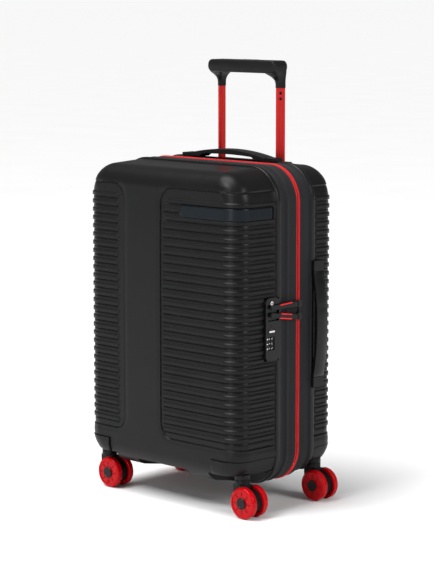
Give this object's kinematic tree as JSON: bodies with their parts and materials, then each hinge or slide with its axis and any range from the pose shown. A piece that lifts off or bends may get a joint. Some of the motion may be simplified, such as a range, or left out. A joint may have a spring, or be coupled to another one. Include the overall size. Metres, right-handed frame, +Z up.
{
  "type": "hard-shell cabin suitcase",
  "caption": "Upright ribbed hard-shell suitcase with a zip gusset, side lock, carry handles, telescoping trolley grip and twin-wheel swivel castors.",
  "frame": {"origin": "centre of the footprint box on the floor under the castors", "axes": "+Z up, -Y towards the ribbed front face, +X towards the side with the lock and side handle"},
  "size_m": [0.3675, 0.233, 0.7003],
  "materials": {
    "shell_plastic": "fine grained satin",
    "rim_plastic": "satin",
    "gusset_fabric": "close woven tape",
    "zip_fabric": "woven zip tape",
    "lining_fabric": "plain woven lining",
    "webbing": "ribbed webbing",
    "black_plastic": "fine grained",
    "handle_rubber": "soft satin",
    "badge_plastic": "satin gloss",
    "marker_plastic": "gloss",
    "button_metal": "polished",
    "steel": "brushed",
    "tube_alloy": "satin anodised",
    "red_alloy": "satin anodised red",
    "button_plastic": "satin",
    "castor_plastic": "satin",
    "wheel_plastic": "glossy, slightly clear"
  },
  "bodies": {
    "back_case": {"back_shell": "shell_plastic", "back_rim": "rim_plastic", "back_gusset": "gusset_fabric", "zip_tape_back": "zip_fabric", "back_lining": "lining_fabric", "trolley_panel": "lining_fabric", "pack_straps": "webbing", "strap_buckles": "black_plastic", "trolley_bezel": "rim_plastic", "guide_tubes": "tube_alloy", "base_bracket": "black_plastic", "castor_mounts_back": "shell_plastic", "top_handle_sockets": "black_plastic", "side_handle_sockets": "black_plastic"},
    "front_case": {"front_shell": "shell_plastic", "badge_strip": "badge_plastic", "front_rim": "rim_plastic", "front_gusset": "gusset_fabric", "zip_tape_front": "zip_fabric", "front_lining": "lining_fabric", "castor_mounts_front": "shell_plastic", "hinge_tape": "gusset_fabric", "lock_body": "black_plastic", "lock_marker": "marker_plastic", "dial_shaft": "steel"},
    "dial_upper": {"dial_upper": "black_plastic"},
    "dial_middle": {"dial_middle": "black_plastic"},
    "dial_lower": {"dial_lower": "black_plastic"},
    "release_button": {"release_button": "button_metal"},
    "latch_bar": {"latch_bar": "steel"},
    "key_cylinder": {"key_cylinder": "button_metal"},
    "zip_slider_upper": {"zip_slider_upper": "button_metal"},
    "zip_slider_lower": {"zip_slider_lower": "button_metal"},
    "zip_pull_upper": {"zip_pull_upper": "handle_rubber"},
    "zip_pull_lower": {"zip_pull_lower": "handle_rubber"},
    "top_handle": {"top_handle": "handle_rubber"},
    "side_handle": {"side_handle": "handle_rubber"},
    "trolley_middle": {"middle_tubes": "tube_alloy"},
    "trolley_inner": {"inner_tubes": "red_alloy", "tube_rivets": "button_plastic", "trolley_grip": "black_plastic"},
    "grip_button": {"grip_button": "button_plastic", "push_rods": "steel"},
    "castor_front_left": {"castor_fork_front_left": "castor_plastic", "castor_axle_front_left": "castor_plastic"},
    "wheel_front_left_a": {"wheel_front_left_a": "wheel_plastic"},
    "wheel_front_left_b": {"wheel_front_left_b": "wheel_plastic"},
    "castor_front_right": {"castor_fork_front_right": "castor_plastic", "castor_axle_front_right": "castor_plastic"},
    "wheel_front_right_a": {"wheel_front_right_a": "wheel_plastic"},
    "wheel_front_right_b": {"wheel_front_right_b": "wheel_plastic"},
    "castor_back_left": {"castor_fork_back_left": "castor_plastic", "castor_axle_back_left": "castor_plastic"},
    "wheel_back_left_a": {"wheel_back_left_a": "wheel_plastic"},
    "wheel_back_left_b": {"wheel_back_left_b": "wheel_plastic"},
    "castor_back_right": {"castor_fork_back_right": "castor_plastic", "castor_axle_back_right": "castor_plastic"},
    "wheel_back_right_a": {"wheel_back_right_a": "wheel_plastic"},
    "wheel_back_right_b": {"wheel_back_right_b": "wheel_plastic"}
  },
  "joints": [
    {"name": "case_opening", "type": "hinge", "parent": "back_case", "child": "front_case", "pos_m": [-0.185, 0.0186, 0.29], "axis": [0, 0, -1], "range_deg": [0, 159]},
    {"name": "top_handle_lift", "type": "slide", "parent": "back_case", "child": "top_handle", "axis": [0, 0, 1], "range_m": [0, 0.012]},
    {"name": "side_handle_lift", "type": "slide", "parent": "back_case", "child": "side_handle", "axis": [1, 0, 0], "range_m": [0, 0.01]},
    {"name": "trolley_lower_stage", "type": "slide", "parent": "back_case", "child": "trolley_middle", "axis": [0, 0, 1], "range_m": [0, 0.2]},
    {"name": "trolley_upper_stage", "type": "slide", "parent": "trolley_middle", "child": "trolley_inner", "axis": [0, 0, 1], "range_m": [-0.158, 0.15]},
    {"name": "grip_button_press", "type": "slide", "parent": "trolley_inner", "child": "grip_button", "axis": [0, 0, -1], "range_m": [0, 0.004], "stiffness_N_per_m": 400, "springref_m": -0.004},
    {"name": "release_button_press", "type": "slide", "parent": "front_case", "child": "release_button", "axis": [-1, 0, 0], "range_m": [0, 0.002], "stiffness_N_per_m": 600, "springref_m": -0.001},
    {"name": "latch_slide", "type": "slide", "parent": "front_case", "child": "latch_bar", "axis": [0, 0, -1], "range_m": [0, 0.0018]},
    {"name": "key_turn", "type": "hinge", "parent": "front_case", "child": "key_cylinder", "pos_m": [0.162, -0.044, 0.2966], "axis": [1, 0, 0], "range_deg": [0, 90]},
    {"name": "dial_upper_turn", "type": "hinge", "parent": "front_case", "child": "dial_upper", "pos_m": [0.1622, -0.044, 0.2772], "axis": [0, 0, 1], "continuous": true},
    {"name": "dial_middle_turn", "type": "hinge", "parent": "front_case", "child": "dial_middle", "pos_m": [0.1622, -0.044, 0.2697], "axis": [0, 0, 1], "continuous": true},
    {"name": "dial_lower_turn", "type": "hinge", "parent": "front_case", "child": "dial_lower", "pos_m": [0.1622, -0.044, 0.2623], "axis": [0, 0, 1], "continuous": true},
    {"name": "zip_slider_upper_run", "type": "slide", "parent": "front_case", "child": "zip_slider_upper", "axis": [0, 0, 1], "range_m": [0, 0.15]},
    {"name": "zip_pull_upper_swing", "type": "hinge", "parent": "zip_slider_upper", "child": "zip_pull_upper", "pos_m": [0.1724, 0.0147, 0.326], "axis": [0, 0, 1], "range_deg": [0, 100]},
    {"name": "zip_slider_lower_run", "type": "slide", "parent": "front_case", "child": "zip_slider_lower", "axis": [0, 0, -1], "range_m": [0, 0.19]},
    {"name": "zip_pull_lower_swing", "type": "hinge", "parent": "zip_slider_lower", "child": "zip_pull_lower", "pos_m": [0.1724, 0.0147, 0.306], "axis": [0, 0, 1], "range_deg": [0, 100]},
    {"name": "castor_front_left_swivel", "type": "hinge", "parent": "front_case", "child": "castor_front_left", "pos_m": [-0.1594, -0.0822, 0.055], "axis": [0, 0, 1], "continuous": true},
    {"name": "wheel_front_left_a_roll", "type": "hinge", "parent": "castor_front_left", "child": "wheel_front_left_a", "pos_m": [-0.1446, -0.0822, 0.0249], "axis": [0, 1, 0], "continuous": true},
    {"name": "wheel_front_left_b_roll", "type": "hinge", "parent": "castor_front_left", "child": "wheel_front_left_b", "pos_m": [-0.1446, -0.0822, 0.0249], "axis": [0, 1, 0], "continuous": true},
    {"name": "castor_front_right_swivel", "type": "hinge", "parent": "front_case", "child": "castor_front_right", "pos_m": [0.1434, -0.0822, 0.055], "axis": [0, 0, 1], "continuous": true},
    {"name": "wheel_front_right_a_roll", "type": "hinge", "parent": "castor_front_right", "child": "wheel_front_right_a", "pos_m": [0.1582, -0.0822, 0.0249], "axis": [0, 1, 0], "continuous": true},
    {"name": "wheel_front_right_b_roll", "type": "hinge", "parent": "castor_front_right", "child": "wheel_front_right_b", "pos_m": [0.1582, -0.0822, 0.0249], "axis": [0, 1, 0], "continuous": true},
    {"name": "castor_back_left_swivel", "type": "hinge", "parent": "back_case", "child": "castor_back_left", "pos_m": [-0.1594, 0.0822, 0.055], "axis": [0, 0, 1], "continuous": true},
    {"name": "wheel_back_left_a_roll", "type": "hinge", "parent": "castor_back_left", "child": "wheel_back_left_a", "pos_m": [-0.1446, 0.0822, 0.0249], "axis": [0, 1, 0], "continuous": true},
    {"name": "wheel_back_left_b_roll", "type": "hinge", "parent": "castor_back_left", "child": "wheel_back_left_b", "pos_m": [-0.1446, 0.0822, 0.0249], "axis": [0, 1, 0], "continuous": true},
    {"name": "castor_back_right_swivel", "type": "hinge", "parent": "back_case", "child": "castor_back_right", "pos_m": [0.1434, 0.0822, 0.055], "axis": [0, 0, 1], "continuous": true},
    {"name": "wheel_back_right_a_roll", "type": "hinge", "parent": "castor_back_right", "child": "wheel_back_right_a", "pos_m": [0.1582, 0.0822, 0.0249], "axis": [0, 1, 0], "continuous": true},
    {"name": "wheel_back_right_b_roll", "type": "hinge", "parent": "castor_back_right", "child": "wheel_back_right_b", "pos_m": [0.1582, 0.0822, 0.0249], "axis": [0, 1, 0], "continuous": true}
  ],
  "couplings": [
    {"joint": "latch_slide", "follows": "release_button_press", "ratio": 0.9}
  ]
}
